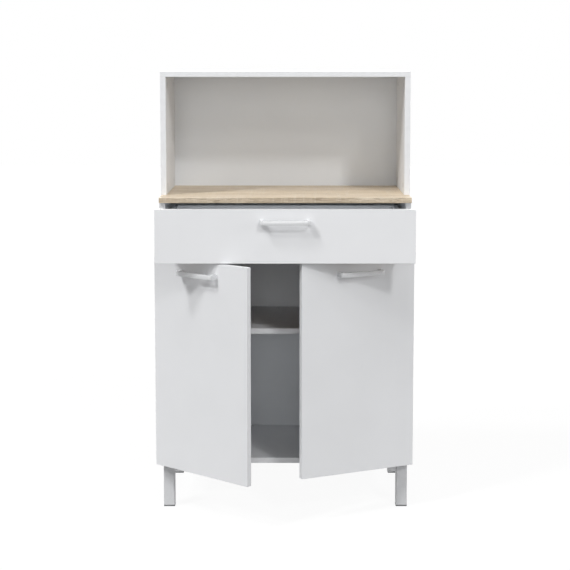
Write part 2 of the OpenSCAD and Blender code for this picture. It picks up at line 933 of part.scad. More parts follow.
// outer link: turns with the door on the arm's pin; the forked end holds the inner link
module outer_link() {
    eye_d = 5.8;
    difference() {
        union() {
            rod_z([arm_pin_u, arm_pin_v, -crank_half], 6.8, 2 * crank_half);
            strap([arm_pin_u, arm_pin_v], [elbow_u, elbow_v], crank_half);
            rod_z([elbow_u, elbow_v, -crank_half], link_t, 2 * crank_half);
            strap([elbow_u, elbow_v], [crank_u, crank_v], crank_half);
            rod_z([crank_u, crank_v, -crank_half], eye_d, 2 * crank_half);
        }
        rod_z([arm_pin_u, arm_pin_v, -crank_half - eps], arm_pin_d + 2 * link_clear,
            2 * crank_half + 2 * eps);
        rod_z([crank_u, crank_v, -bar_half - ear_gap], 9, 2 * (bar_half + ear_gap));
    }
    rod_z([crank_u, crank_v, -crank_half], link_pin_d, 2 * crank_half);
}

module turned_outer_link(angle) {
    at_hinges() translate([arm_pin_u, arm_pin_v, 0]) rotate([0, 0, -angle])
        translate([-arm_pin_u, -arm_pin_v, 0]) outer_link();
}

// inner link: stays parallel to itself between the outer link and the cup's pin
module inner_link() {
    eye_d = 5.8;
    reach = norm([bar_u, bar_v]);
    translate([cup_pin_u, cup_pin_v, -bar_half]) rotate([0, 0, atan2(bar_v, bar_u)])
        linear_extrude(2 * bar_half) difference() {
            union() {
                for (x = [0, reach]) translate([x, 0]) circle(d = eye_d);
                translate([0, -link_t / 2]) square([reach, link_t]);
            }
            circle(d = link_pin_d + 2 * cup_pin_play);
            translate([reach, 0]) circle(d = link_pin_d + 2 * link_clear);
        }
}

// the cup pin's travel as the door swings, from the closed place
function travel(angle) =
    let (u = cup_pin_u + axis_out, v = cup_pin_v - axis_back)
    [u * cos(angle) + v * sin(angle) - u, -u * sin(angle) + v * cos(angle) - v, 0];

module moved_inner_link(angle) {
    at_hinges() translate(travel(angle)) inner_link();
}

// a pressed cup with its flange and pin, in the bore of the door's back
module hinge_cup() {
    difference() {
        union() {
            rod_y([cup_u, -front_gap - cup_depth, 0], cup_d, cup_depth);
            rod_y([cup_u, -front_gap, 0], cup_d + 4, cup_flange_t);
            for (w = [-1, 1]) {
                rod_y([cup_screw_u, -front_gap, w * cup_screw_w], 10, cup_flange_t);
                block([cup_screw_u - 5, -front_gap, min(w * cup_screw_w, 0)],
                    [cup_screw_u + 5, -front_gap + cup_flange_t, max(w * cup_screw_w, 0)]);
            }
        }
        rod_y([cup_u, -front_gap - cup_depth + cup_wall, 0], cup_d - 2 * cup_wall,
            cup_depth + cup_flange_t);
        for (w = [-1, 1])
            rod_y([cup_screw_u, -front_gap - eps, w * cup_screw_w], screw_d, cup_flange_t + 1);
    }
    half = sqrt(pow(cup_d / 2 - cup_wall / 2, 2) - pow(cup_u - cup_pin_u, 2));
    rod_z([cup_pin_u, cup_pin_v, -half], link_pin_d, 2 * half);
}

module at_cup_screws() {
    at_hinges() for (w = [-1, 1])
        translate([cup_screw_u, -front_gap, w * cup_screw_w]) rotate([90, 0, 0]) children();
}

// the left-hand door's board, closed; the other door is its mirror image
module door_board() {
    middle = -(door_gap + door_w) / 2;
    difference() {
        block([-front_w / 2, front_y, leg_h], [-door_gap / 2, -front_gap, door_top]);
        at_hinges() rod_y([cup_u, -front_gap - cup_depth, 0], cup_d, cup_depth + eps);
        at_cup_screws() rod_z([0, 0, -eps], screw_d, bolt_in + eps);
        front_screw_holes(middle, door_top);
    }
}
module door_handle() {
    bow_handle(-(door_gap + door_w) / 2, door_top);
}
module door_handle_screws() {
    handle_screws(-(door_gap + door_w) / 2, door_top);
}
module door_cup_screws() {
    at_cup_screws() translate([0, 0, -cup_flange_t]) pan_screw(screw_d, cup_flange_t + bolt_in);
}

module left_door_panel() {
    color(white) swung(left_door_open) door_board();
}

module left_door_handle() {
    color(silver) swung(left_door_open) door_handle();
}

module left_handle_screws() {
    color(steel) swung(left_door_open) door_handle_screws();
}

module left_hinge_cups() {
    color(steel) swung(left_door_open) at_hinges() hinge_cup();
}

module left_cup_screws() {
    color(steel) swung(left_door_open) door_cup_screws();
}

module left_outer_links() {
    color(steel) turned_outer_link(left_door_open);
}

module left_inner_links() {
    color(steel) moved_inner_link(left_door_open);
}

module right_door_panel() {
    color(white) mirror([1, 0, 0]) swung(right_door_open) door_board();
}

module right_door_handle() {
    color(silver) mirror([1, 0, 0]) swung(right_door_open) door_handle();
}

module right_handle_screws() {
    color(steel) mirror([1, 0, 0]) swung(right_door_open) door_handle_screws();
}

module right_hinge_cups() {
    color(steel) mirror([1, 0, 0]) swung(right_door_open) at_hinges() hinge_cup();
}

module right_cup_screws() {
    color(steel) mirror([1, 0, 0]) swung(right_door_open) door_cup_screws();
}

module right_outer_links() {
    color(steel) mirror([1, 0, 0]) turned_outer_link(right_door_open);
}

module right_inner_links() {
    color(steel) mirror([1, 0, 0]) moved_inner_link(right_door_open);
}

placed() worktop();
placed() base_left_side();
placed() base_right_side();
placed() base_bottom();
placed() rear_rail();
placed() base_back_panel();
placed() adjustable_shelf();
placed() shelf_pins();
placed() hutch_left_side();
placed() hutch_right_side();
placed() hutch_top();
placed() hutch_back_panel();
placed() cam_locks();
placed() cam_bolts();
placed() wooden_dowels();
placed() back_panel_nails();
placed() worktop_screws();
placed() leg_front_left();
placed() leg_front_right();
placed() leg_rear_left();
placed() leg_rear_right();
placed() leg_fixing_screws();  // leg_screws
placed() foot_pads();
placed() door_bumpers();
placed() left_cabinet_runner();
placed() right_cabinet_runner();
placed() runner_screws();
placed() left_cabinet_roller();
placed() right_cabinet_roller();
placed() hinge_arms();
placed() hinge_mounting_plates();
placed() hinge_plate_screws();
placed() hinge_arm_screws();
placed() drawer_front();
placed() drawer_left_side();
placed() drawer_right_side();
placed() drawer_back();
placed() drawer_bottom();
placed() drawer_handle();
placed() drawer_handle_screws();
placed() drawer_corner_fixings();
placed() left_drawer_runner();
placed() right_drawer_runner();
placed() left_drawer_roller();
placed() right_drawer_roller();
placed() left_door_panel();
placed() left_door_handle();
placed() left_handle_screws();
placed() left_hinge_cups();
placed() left_cup_screws();
placed() left_outer_links();
placed() left_inner_links();
placed() right_door_panel();
placed() right_door_handle();
placed() right_handle_screws();
placed() right_hinge_cups();
placed() right_cup_screws();
placed() right_outer_links();
placed() right_inner_links();
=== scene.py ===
# A free-standing kitchen cabinet for a microwave oven: open hutch, oak-effect worktop, one
# drawer and two doors on four legs. Metres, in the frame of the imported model.
import json
import math

import bmesh
import bpy
from mathutils import Matrix, Vector

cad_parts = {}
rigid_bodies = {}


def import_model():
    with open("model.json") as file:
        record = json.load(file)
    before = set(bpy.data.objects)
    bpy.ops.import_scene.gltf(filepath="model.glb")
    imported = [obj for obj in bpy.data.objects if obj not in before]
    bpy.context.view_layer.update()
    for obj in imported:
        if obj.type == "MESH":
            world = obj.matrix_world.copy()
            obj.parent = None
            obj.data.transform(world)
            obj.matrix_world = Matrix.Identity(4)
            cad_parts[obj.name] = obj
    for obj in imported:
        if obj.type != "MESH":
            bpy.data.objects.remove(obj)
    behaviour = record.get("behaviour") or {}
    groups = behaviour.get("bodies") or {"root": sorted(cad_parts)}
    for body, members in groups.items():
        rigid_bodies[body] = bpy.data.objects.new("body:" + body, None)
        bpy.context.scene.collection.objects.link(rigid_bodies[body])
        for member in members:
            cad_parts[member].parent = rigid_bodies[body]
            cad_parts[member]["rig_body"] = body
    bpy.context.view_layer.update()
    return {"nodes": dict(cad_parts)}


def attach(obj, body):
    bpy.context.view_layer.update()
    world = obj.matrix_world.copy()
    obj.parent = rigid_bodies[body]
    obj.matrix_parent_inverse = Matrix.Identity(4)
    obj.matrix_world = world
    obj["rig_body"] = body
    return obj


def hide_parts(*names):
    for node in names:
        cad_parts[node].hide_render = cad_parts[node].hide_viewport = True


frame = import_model()
nodes = frame["nodes"]
scene = bpy.context.scene


# ---- camera ----
# A long lens just above the cabinet's height, looking a little down. A part of the look down
# is shift, so the upright edges stay nearly parallel.
lens = bpy.data.cameras.new("camera")
lens.sensor_width, lens.lens = 36, 92.43
lens.shift_x, lens.shift_y = -0.00825, -0.10
lens.clip_start, lens.clip_end = 0.1, 60
camera = bpy.data.objects.new("camera", lens)
camera.location = (0.01265, -4.23426, 1.29274)
camera.rotation_euler = (math.radians(90 - 6.485), 0, 0)
scene.collection.objects.link(camera)
scene.camera = camera
scene.view_settings.view_transform = "Standard"


# ---- studio ----
# A white room: a floor and a world that the camera, gloss and glass see as white, and large
# soft lamps that are far away, so that their light is even.
def linear(colour):
    """An sRGB hex colour as linear red, green, blue and alpha."""
    parts = [int(colour[i:i + 2], 16) / 255 for i in (1, 3, 5)]
    return [p / 12.92 if p <= 0.04045 else ((p + 0.055) / 1.055) ** 2.4 for p in parts] + [1]


def add(tree, kind, inputs=None, stops=(), **settings):
    """Adds a node, sets its properties, and sets or links its inputs."""
    node = tree.nodes.new(kind)
    for name, value in settings.items():
        setattr(node, name, value)
    for i, (place, colour) in enumerate(stops):
        ramp = node.color_ramp.elements
        stop = ramp[i] if i < len(ramp) else ramp.new(place)
        stop.position, stop.color = place, linear(colour)
    for name, value in (inputs or {}).items():
        if isinstance(value, bpy.types.NodeSocket):
            tree.links.new(value, node.inputs[name])
        else:
            node.inputs[name].default_value = value
    return node


def seen_white(tree):
    """1 for the rays that see the room: from the camera, off gloss and through glass."""
    ray = add(tree, "ShaderNodeLightPath")
    either = add(tree, "ShaderNodeMath", {0: ray.outputs["Is Camera Ray"],
        1: ray.outputs["Is Glossy Ray"]}, operation="MAXIMUM")
    return add(tree, "ShaderNodeMath", {0: either.outputs[0],
        1: ray.outputs["Is Transmission Ray"]}, operation="MAXIMUM").outputs[0]


# the dim glow that lights the object from all round, and what the paper shines by itself
AMBIENT, PAPER_GLOW = 0.05, 0.92
world = bpy.data.worlds.new("white_room")
world.use_nodes = True
tree = world.node_tree
tree.nodes.clear()
glow = add(tree, "ShaderNodeBackground", {"Color": linear("#FFFFFF"), "Strength": AMBIENT})
white = add(tree, "ShaderNodeBackground", {"Color": linear("#FFFFFF"), "Strength": 1.0})
both = add(tree, "ShaderNodeMixShader", {0: seen_white(tree), 1: glow.outputs[0],
    2: white.outputs[0]})
add(tree, "ShaderNodeOutputWorld", {"Surface": both.outputs[0]})
scene.world = world

# seamless paper: the rays that see it get mostly its own white, and the rest shows shadow
paper = bpy.data.materials.new("seamless_paper")
paper.use_nodes = True
tree = paper.node_tree
tree.nodes.clear()
matt = add(tree, "ShaderNodeBsdfDiffuse", {"Color": linear("#9C9C9C")})
faint = add(tree, "ShaderNodeBsdfDiffuse", {"Color": linear("#5A5A5A")})
own = add(tree, "ShaderNodeEmission", {"Color": linear("#FFFFFF"),
    "Strength": PAPER_GLOW})
seen = add(tree, "ShaderNodeAddShader", {0: faint.outputs[0], 1: own.outputs[0]})
both = add(tree, "ShaderNodeMixShader", {0: seen_white(tree), 1: matt.outputs[0],
    2: seen.outputs[0]})
add(tree, "ShaderNodeOutputMaterial", {"Surface": both.outputs[0]})
FLOOR_HALF = 14
corners = [(x * FLOOR_HALF, y * FLOOR_HALF, 0)
    for x, y in ((-1, -1), (1, -1), (1, 1), (-1, 1))]
ground = bpy.data.meshes.new("floor")
ground.from_pydata(corners, [], [(0, 1, 2, 3)])
ground.materials.append(paper)
floor = bpy.data.objects.new("floor", ground)
scene.collection.objects.link(floor)

# each lamp: azimuth and elevation in degrees, how wide it looks in degrees, its strength
LAMP_DISTANCE = 4
for name, azimuth, elevation, spread, strength in (
        ("key_high", -54, 54, 9, 0.84),
        ("key_low", -50, 41, 6, 0.92),
        ("right_high", 26, 36, 6, 0.66),
        ("right_low", 20, 27, 8, 0.18),
        ("front_high", 0, 46, 9, 0.12),
        ("front_low", 0, 6, 24, 0.40),
        ("side_left", -75, 12, 24, 0.16),
        ("side_right", 75, 12, 24, 0.54),
        ("top", 0, 80, 35, 0.40),
        ("rear", 180, 14, 30, 1.60)):
    lamp = bpy.data.lights.new(name, "SUN")
    lamp.energy, lamp.angle = strength, math.radians(spread)
    stand = bpy.data.objects.new(name, lamp)
    a, e = math.radians(azimuth), math.radians(elevation)
    away = Vector((math.sin(a) * math.cos(e), -math.cos(a) * math.cos(e), math.sin(e)))
    stand.rotation_euler = away.to_track_quat("Z", "Y").to_euler()
    stand.location = away * LAMP_DISTANCE
    scene.collection.objects.link(stand)


# ---- base sides, bottom panel and rear rail ----
# Boards of 16 mm chipboard faced with white melamine paper and edged with ABS band. They are
# sawn, edged, and drilled for cams, dowels, hinges, runners and shelf pins.
def material(name):
    """An empty node material, its tree and its object coordinates."""
    made = bpy.data.materials.new(name)
    made.use_nodes = True
    made.node_tree.nodes.clear()
    place = add(made.node_tree, "ShaderNodeTexCoord").outputs["Object"]
    return made, made.node_tree, place


# the two near whites that the boards and their edge bands drift between
WHITES = ("#EDEEF0", "#F0F1F3")

# melamine paper pressed on board: an even white with a very fine pearl in its gloss. The
# pearl is 0.4 mm on a real board and is drawn at 1.2 mm.
melamine, tree, place = material("white_melamine_pressed")
cloud = add(tree, "ShaderNodeTexNoise", {"Vector": place, "Scale": 6.0, "Detail": 3.0})
tone = add(tree, "ShaderNodeValToRGB", {"Fac": cloud.outputs["Fac"]},
    stops=[(0.3, WHITES[0]), (0.7, WHITES[1])])
pearl = add(tree, "ShaderNodeTexNoise", {"Vector": place, "Scale": 1 / 0.0012, "Detail": 2.0})
gloss = add(tree, "ShaderNodeMapRange", {"Value": pearl.outputs["Fac"], "To Min": 0.38,
    "To Max": 0.50})
relief = add(tree, "ShaderNodeBump", {"Height": pearl.outputs["Fac"], "Strength": 0.25,
    "Distance": 0.00006})
skin = add(tree, "ShaderNodeBsdfPrincipled", {"Base Color": tone.outputs["Color"],
    "Roughness": gloss.outputs["Result"], "Normal": relief.outputs["Normal"], "IOR": 1.5})
add(tree, "ShaderNodeOutputMaterial", {"Surface": skin.outputs[0]})

# ABS edge band, extruded and ironed on: the same white, smoother, with faint milling waves
band, tree, place = material("white_abs_edge_band")
wave = add(tree, "ShaderNodeTexNoise", {"Vector": place, "Scale": 60.0, "Detail": 1.0})
tone = add(tree, "ShaderNodeValToRGB", {"Fac": wave.outputs["Fac"]},
    stops=[(0.35, WHITES[0]), (0.65, WHITES[1])])
relief = add(tree, "ShaderNodeBump", {"Height": wave.outputs["Fac"], "Strength": 0.2,
    "Distance": 0.0002})
skin = add(tree, "ShaderNodeBsdfPrincipled", {"Base Color": tone.outputs["Color"],
    "Roughness": 0.34, "Normal": relief.outputs["Normal"], "IOR": 1.53})
add(tree, "ShaderNodeOutputMaterial", {"Surface": skin.outputs[0]})

# chipboard core in the drilled holes and grooves: glued flakes of 2 mm in browns
chipboard, tree, place = material("chipboard_sawn")
flake = add(tree, "ShaderNodeTexVoronoi", {"Vector": place, "Scale": 1 / 0.002})
tone = add(tree, "ShaderNodeValToRGB", {"Fac": flake.outputs["Color"]},
    stops=[(0.1, "#7E5F3E"), (0.5, "#A98A62"), (0.9, "#C9AE86")])
relief = add(tree, "ShaderNodeBump", {"Height": flake.outputs["Distance"], "Strength": 0.6,
    "Distance": 0.0004})
skin = add(tree, "ShaderNodeBsdfPrincipled", {"Base Color": tone.outputs["Color"],
    "Roughness": 0.9, "Normal": relief.outputs["Normal"]})
add(tree, "ShaderNodeOutputMaterial", {"Surface": skin.outputs[0]})

EDGE_RADIUS = 0.0008
# corners this near are one, faces this near the outside are flush with it, in metres
MERGE, FLUSH = 1e-6, 2e-5
# in radians: faces between these angles are one round surface, and from CORNER on an edge
# is a board's or a tube's corner; an edge without two faces counts as NO_ANGLE
ROUND_FROM, ROUND_TO, CORNER, NO_ANGLE = 0.02, 0.7, 1.4, 9


def shown(name, mesh, node, *finishes):
    """Links a mesh as the piece that stands for a CAD node and rides on its body."""
    for finish in finishes:
        mesh.materials.append(finish)
    piece = bpy.data.objects.new(name, mesh)
    scene.collection.objects.link(piece)
    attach(piece, nodes[node]["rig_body"])
    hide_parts(node)
    return piece


def solid_copy(node, still=Matrix()):
    """A merged copy of a CAD node's mesh in large flat faces, moved out of its rest pose."""
    b = bmesh.new()
    b.from_mesh(nodes[node].data)
    bmesh.ops.remove_doubles(b, verts=b.verts, dist=MERGE)
    b.transform(still.inverted())
    bmesh.ops.dissolve_limit(b, angle_limit=math.radians(1), verts=b.verts, edges=b.edges)
    for face in b.faces:
        face.smooth = any(ROUND_FROM < e.calc_face_angle(NO_ANGLE) < ROUND_TO
            for e in face.edges)
    return b


# the order of a board's materials
FACING, BAND, CORE, UNDERSIDE = range(4)


def board(node, finish=melamine, edge=band, still=Matrix(),
        radius=EDGE_RADIUS):
    """A board with eased edges: faces, edge band, and the bare core in holes and grooves."""
    b = solid_copy(node, still)
    low = [min(v.co[i] for v in b.verts) for i in range(3)]
    high = [max(v.co[i] for v in b.verts) for i in range(3)]
    thin = min(range(3), key=lambda i: high[i] - low[i])
    for face in b.faces:
        sides = [i for i in range(3) for end in (low, high)
            if all(abs(v.co[i] - end[i]) < FLUSH for v in face.verts)]
        face.material_index = CORE if not sides else FACING if thin in sides else BAND
    outer = [e for e in b.edges if len(e.link_faces) == 2 and e.calc_face_angle(0) > CORNER
        and all(f.material_index != CORE for f in e.link_faces)]
    eased = bmesh.ops.bevel(b, geom=outer, offset=radius, segments=3, profile=0.5,
        affect="EDGES", clamp_overlap=True)
    for face in eased["faces"]:
        face.smooth = True
    b.transform(still)
    mesh = bpy.data.meshes.new(node + "_board")
    b.to_mesh(mesh)
    b.free()
    piece = shown(node + "_board", mesh, node, finish, edge, chipboard)
    return piece


for node in ("base_left_side", "base_right_side", "base_bottom", "rear_rail"):
    board(node)


# ---- worktop ----
# A 16 mm board faced and edged with a printed sawn-oak melamine, its grain along the width,
# and plain white below. Cams, dowels and two screws in the rear rail hold it.

# The edge band is a second print of the same oak, darker and with deeper pores; its darker
# tones are partly painted shade, for the upright edge that gets less light than the top.
OAK = (("oak_effect_melamine_sawn", ("#C7B296", "#DECCB0", "#EAD9C1", "#F1E3CF"), 0.40),
    ("oak_effect_edge_band", ("#9E8D79", "#C4B39B", "#D8C9B2", "#E5D7C3"), 0.70))
oaks = []
for name, tones, depth in OAK:
    oak, tree, place = material(name)
    # the figure is stretched along the board: 1 m of it has the detail of 50 mm across
    along = add(tree, "ShaderNodeMapping", {"Vector": place, "Scale": (1.6, 32, 32)})
    drift = add(tree, "ShaderNodeTexNoise", {"Vector": place, "Scale": 5.0, "Detail": 2.0})
    bent = add(tree, "ShaderNodeVectorMath", {0: along.outputs[0],
        1: drift.outputs["Color"]}, operation="ADD")
    figure = add(tree, "ShaderNodeTexNoise", {"Vector": bent.outputs[0], "Scale": 1.6,
        "Detail": 6.0, "Roughness": 0.62, "Distortion": 0.7})
    tone = add(tree, "ShaderNodeValToRGB", {"Fac": figure.outputs["Fac"]},
        stops=list(zip((0.30, 0.44, 0.56, 0.72), tones)))
    # bundles of pores: dark dashes 25 mm long and 1.5 mm wide, and single ones 10 mm long,
    # which are 0.4 mm wide on real oak and drawn at 0.8 mm
    dark = None
    for size, start in (((28, 520, 520), 0.55), ((90, 1200, 1200), 0.60)):
        dashes = add(tree, "ShaderNodeMapping", {"Vector": place, "Scale": size})
        pore = add(tree, "ShaderNodeTexNoise", {"Vector": dashes.outputs[0], "Scale": 1.0,
            "Detail": 2.0})
        deep = add(tree, "ShaderNodeMapRange", {"Value": pore.outputs["Fac"],
            "From Min": start, "From Max": start + 0.12, "To Max": depth})
        dark = deep if dark is None else add(tree, "ShaderNodeMath",
            {0: dark.outputs[0], 1: deep.outputs[0]}, operation="MAXIMUM")
    # saw marks across the grain, as the print of rough-sawn oak has them
    marks = add(tree, "ShaderNodeMapping", {"Vector": place, "Scale": (190, 6, 6)})
    saw = add(tree, "ShaderNodeTexNoise", {"Vector": marks.outputs[0], "Scale": 1.0,
        "Detail": 3.0})
    pale = add(tree, "ShaderNodeMapRange", {"Value": saw.outputs["Fac"], "From Min": 0.5,
        "From Max": 0.8, "To Max": 0.4})
    sawn = add(tree, "ShaderNodeMix", {0: pale.outputs["Result"], 6: tone.outputs["Color"],
        7: linear("#EDE3D4")}, data_type="RGBA")
    wood = add(tree, "ShaderNodeMix", {0: dark.outputs[0], 6: sawn.outputs[2],
        7: linear("#8A745B")}, data_type="RGBA")
    relief = add(tree, "ShaderNodeBump", {"Height": dark.outputs[0], "Strength": 0.4,
        "Distance": 0.0001}, invert=True)
    skin = add(tree, "ShaderNodeBsdfPrincipled", {"Base Color": wood.outputs[2],
        "Roughness": 0.52, "Normal": relief.outputs["Normal"], "IOR": 1.5})
    add(tree, "ShaderNodeOutputMaterial", {"Surface": skin.outputs[0]})
    oaks.append(oak)

worktop = board("worktop", finish=oaks[0], edge=oaks[1], radius=0.0015)
worktop.data.materials.append(melamine)
for face in worktop.data.polygons:
    if face.normal.z < -0.99 and face.material_index == FACING:
        face.material_index = UNDERSIDE


# ---- hutch ----
# Two sides that stand on the worktop and a top over them, of the same white board, held by
# cams and dowels.
for node in ("hutch_left_side", "hutch_right_side", "hutch_top"):
    board(node)


# ---- back panels ----
# 3 mm hardboard, lacquered white on the side that shows inside the cabinet and left raw
# behind, nailed into the rear edges of the boards.
lacquer, tree, place = material("white_lacquered_hardboard")
peel = add(tree, "ShaderNodeTexNoise", {"Vector": place, "Scale": 1 / 0.003, "Detail": 2.0})
cloud = add(tree, "ShaderNodeTexNoise", {"Vector": place, "Scale": 4.0, "Detail": 2.0})
tone = add(tree, "ShaderNodeValToRGB", {"Fac": cloud.outputs["Fac"]},
    stops=[(0.3, "#EAEDF1"), (0.7, "#EEF1F4")])
relief = add(tree, "ShaderNodeBump", {"Height": peel.outputs["Fac"], "Strength": 0.3,
    "Distance": 0.0001})
skin = add(tree, "ShaderNodeBsdfPrincipled", {"Base Color": tone.outputs["Color"],
    "Roughness": 0.45, "Normal": relief.outputs["Normal"]})
add(tree, "ShaderNodeOutputMaterial", {"Surface": skin.outputs[0]})

# raw back of hardboard: matted brown fibres of 0.3 mm, drawn at 0.8 mm
fibre, tree, place = material("raw_hardboard_fibre")
mat = add(tree, "ShaderNodeTexNoise", {"Vector": place, "Scale": 1 / 0.0008, "Detail": 3.0})
cloud = add(tree, "ShaderNodeTexNoise", {"Vector": place, "Scale": 14.0, "Detail": 3.0})
mixed = add(tree, "ShaderNodeMath", {0: mat.outputs["Fac"], 1: 0.35, 2: cloud.outputs["Fac"]},
    operation="MULTIPLY_ADD")
tone = add(tree, "ShaderNodeValToRGB", {"Fac": mixed.outputs[0]},
    stops=[(0.45, "#8A6A48"), (0.9, "#A98961")])
relief = add(tree, "ShaderNodeBump", {"Height": mat.outputs["Fac"], "Strength": 0.5,
    "Distance": 0.0002})
skin = add(tree, "ShaderNodeBsdfPrincipled", {"Base Color": tone.outputs["Color"],
    "Roughness": 0.85, "Normal": relief.outputs["Normal"]})
add(tree, "ShaderNodeOutputMaterial", {"Surface": skin.outputs[0]})


def hardboard(node, shows):
    """A hardboard panel, lacquered on the side that looks along `shows` and raw elsewhere."""
    b = solid_copy(node)
    for face in b.faces:
        face.material_index = 0 if face.normal.dot(shows) > 0.9 else 1
    mesh = bpy.data.meshes.new(node + "_panel")
    b.to_mesh(mesh)
    b.free()
    piece = shown(node + "_panel", mesh, node, lacquer, fibre)


hardboard("base_back_panel", Vector((0, -1, 0)))
hardboard("hutch_back_panel", Vector((0, -1, 0)))


# ---- legs and foot pads ----
# Square steel tubes welded under a plate, powder-coated silver, screwed to the bottom panel
# and the sides. A grey plastic plug closes each tube.

# silver powder coat: a light grey with metal flakes of 0.1 mm, drawn at 0.7 mm
silver, tree, place = material("silver_powder_coat")
flake = add(tree, "ShaderNodeTexVoronoi", {"Vector": place, "Scale": 1 / 0.0007})
tone = add(tree, "ShaderNodeValToRGB", {"Fac": flake.outputs["Color"]},
    stops=[(0.1, "#D5D6D8"), (0.9, "#DEDFE1")])
gloss = add(tree, "ShaderNodeMapRange", {"Value": flake.outputs["Color"], "To Min": 0.34,
    "To Max": 0.46})
relief = add(tree, "ShaderNodeBump", {"Height": flake.outputs["Distance"], "Strength": 0.3,
    "Distance": 0.00005})
skin = add(tree, "ShaderNodeBsdfPrincipled", {"Base Color": tone.outputs["Color"],
    "Roughness": gloss.outputs["Result"], "Normal": relief.outputs["Normal"]})
add(tree, "ShaderNodeOutputMaterial", {"Surface": skin.outputs[0]})

# polyethylene plug, injection moulded with a fine spark-eroded grain
plug, tree, place = material("grey_polyethylene_moulded")
grain = add(tree, "ShaderNodeTexNoise", {"Vector": place, "Scale": 1 / 0.0007, "Detail": 2.0})
tone = add(tree, "ShaderNodeValToRGB", {"Fac": grain.outputs["Fac"]},
    stops=[(0.3, "#66686A"), (0.7, "#707274")])
relief = add(tree, "ShaderNodeBump", {"Height": grain.outputs["Fac"], "Strength": 0.5,
    "Distance": 0.0001})
skin = add(tree, "ShaderNodeBsdfPrincipled", {"Base Color": tone.outputs["Color"],
    "Roughness": 0.6, "Normal": relief.outputs["Normal"]})
add(tree, "ShaderNodeOutputMaterial", {"Surface": skin.outputs[0]})


def eased(node, finish, slot, radius, still=Matrix(), tube=0):
    """A CAD node's shape with its sharp edges rounded, and a tube's long corners more."""
    b = solid_copy(node, still)
    if tube:
        long = [e for e in b.edges if e.calc_length() > 3 * tube and e.is_convex
            and abs((e.verts[0].co - e.verts[1].co).normalized().z) > 0.999
            and e.calc_face_angle(0) > CORNER]
        round_off = bmesh.ops.bevel(b, geom=long, offset=tube, segments=4, profile=0.5,
            affect="EDGES", clamp_overlap=True)
        for face in round_off["faces"]:
            face.smooth = True
    b.transform(still)
    mesh = bpy.data.meshes.new(node + "_eased")
    b.to_mesh(mesh)
    b.free()
    piece = shown(node + "_eased", mesh, node, finish)
    rounding = piece.modifiers.new("rounding", "BEVEL")
    rounding.width, rounding.segments, rounding.limit_method = radius, 2, "ANGLE"
    rounding.angle_limit = math.radians(50)
    rounding.harden_normals = True
    return piece


for place_name in ("front_left", "front_right", "rear_left", "rear_right"):
    eased("leg_" + place_name, silver, "silver_painted_steel", 0.0004, tube=0.0025)
eased("foot_pads", plug, "grey_plastic", 0.0004, tube=0.0022)


# ---- adjustable shelf and its pins ----
# A loose melamine shelf, which can be put at five heights. It lies on four push-in pins with
# a flat blade, zinc-plated.
board("adjustable_shelf")

# bright zinc plating: bluish, with soft clouding where the bath was uneven
zinc, tree, place = material("zinc_plated_steel_bright")
cloud = add(tree, "ShaderNodeTexNoise", {"Vector": place, "Scale": 350.0, "Detail": 3.0})
tone = add(tree, "ShaderNodeValToRGB", {"Fac": cloud.outputs["Fac"]},
    stops=[(0.3, "#B9BEC4"), (0.7, "#CFD2D6")])
gloss = add(tree, "ShaderNodeMapRange", {"Value": cloud.outputs["Fac"], "To Min": 0.24,
    "To Max": 0.38})
skin = add(tree, "ShaderNodeBsdfPrincipled", {"Base Color": tone.outputs["Color"],
    "Metallic": 1.0, "Roughness": gloss.outputs["Result"]})
add(tree, "ShaderNodeOutputMaterial", {"Surface": skin.outputs[0]})

eased("shelf_pins", zinc, "zinc_plated_steel", 0.0004)


# ---- drawer ----
# A melamine front on a box of 12 mm boards, a hardboard bottom in grooves. It stands pulled
# out by 160 mm.
board("drawer_front")
for node in ("drawer_left_side", "drawer_right_side", "drawer_back"):
    board(node, radius=0.0006)
hardboard("drawer_bottom", Vector((0, 0, 1)))


# ---- runners and rollers ----
# Rolled steel channels on the carcass and angles on the drawer, powder-coated white, each
# with one nylon roller on a riveted axle.

# powder coat flows out to a fine orange peel of 1 mm
coat, tree, place = material("white_powder_coat")
peel = add(tree, "ShaderNodeTexNoise", {"Vector": place, "Scale": 1 / 0.001, "Detail": 1.0})
cloud = add(tree, "ShaderNodeTexNoise", {"Vector": place, "Scale": 25.0, "Detail": 2.0})
tone = add(tree, "ShaderNodeValToRGB", {"Fac": cloud.outputs["Fac"]},
    stops=[(0.3, "#D8D9DB"), (0.7, "#DDDEE0")])
gloss = add(tree, "ShaderNodeMapRange", {"Value": peel.outputs["Fac"], "To Min": 0.30,
    "To Max": 0.42})
relief = add(tree, "ShaderNodeBump", {"Height": peel.outputs["Fac"], "Strength": 0.4,
    "Distance": 0.00008})
skin = add(tree, "ShaderNodeBsdfPrincipled", {"Base Color": tone.outputs["Color"],
    "Roughness": gloss.outputs["Result"], "Normal": relief.outputs["Normal"]})
add(tree, "ShaderNodeOutputMaterial", {"Surface": skin.outputs[0]})

for side in ("left", "right"):
    eased(side + "_cabinet_runner", coat, "white_painted_steel", 0.0003)
    eased(side + "_drawer_runner", coat, "white_painted_steel", 0.0003)

# nylon, injection moulded: a milky white that lets a little light in
nylon, tree, place = material("white_nylon_moulded")
haze = add(tree, "ShaderNodeTexNoise", {"Vector": place, "Scale": 220.0, "Detail": 2.0})
tone = add(tree, "ShaderNodeValToRGB", {"Fac": haze.outputs["Fac"]},
    stops=[(0.3, "#E9E8E1"), (0.7, "#F0EFE9")])
skin = add(tree, "ShaderNodeBsdfPrincipled", {"Base Color": tone.outputs["Color"],
    "Roughness": 0.33, "Subsurface Weight": 0.05, "Subsurface Radius": (0.001, 0.001, 0.001)})
add(tree, "ShaderNodeOutputMaterial", {"Surface": skin.outputs[0]})


